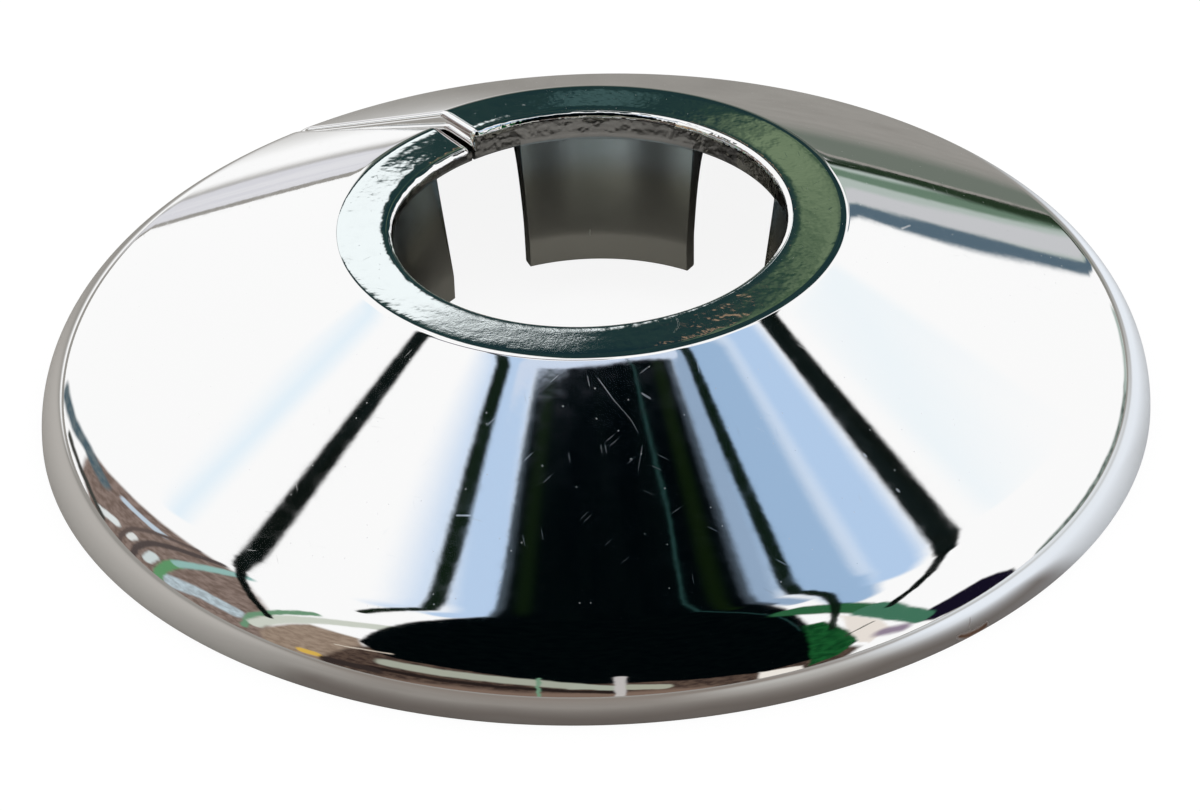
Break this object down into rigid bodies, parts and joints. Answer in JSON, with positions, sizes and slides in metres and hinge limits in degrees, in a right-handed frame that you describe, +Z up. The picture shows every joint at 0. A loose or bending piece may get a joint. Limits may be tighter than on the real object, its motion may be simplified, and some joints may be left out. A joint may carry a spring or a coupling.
{
  "type": "radiator pipe collar",
  "caption": "Low conical chrome-plated split collar with a flat ring round its bore and sprung inner tabs; it snaps round a radiator pipe and hides the hole the pipe comes through.",
  "frame": {"origin": "on the axis of the bore, in the plane of the rim's foot, which sits on the floor or wall", "axes": "+Z up along the pipe's axis, away from the floor or wall; the split is on the +Y side"},
  "size_m": [0.047, 0.047, 0.009],
  "materials": {
    "chrome_plate": "bright chrome plating on a moulded plastic body, lightly scuffed"
  },
  "bodies": {
    "root": {"collar": "chrome_plate"}
  },
  "joints": []
}
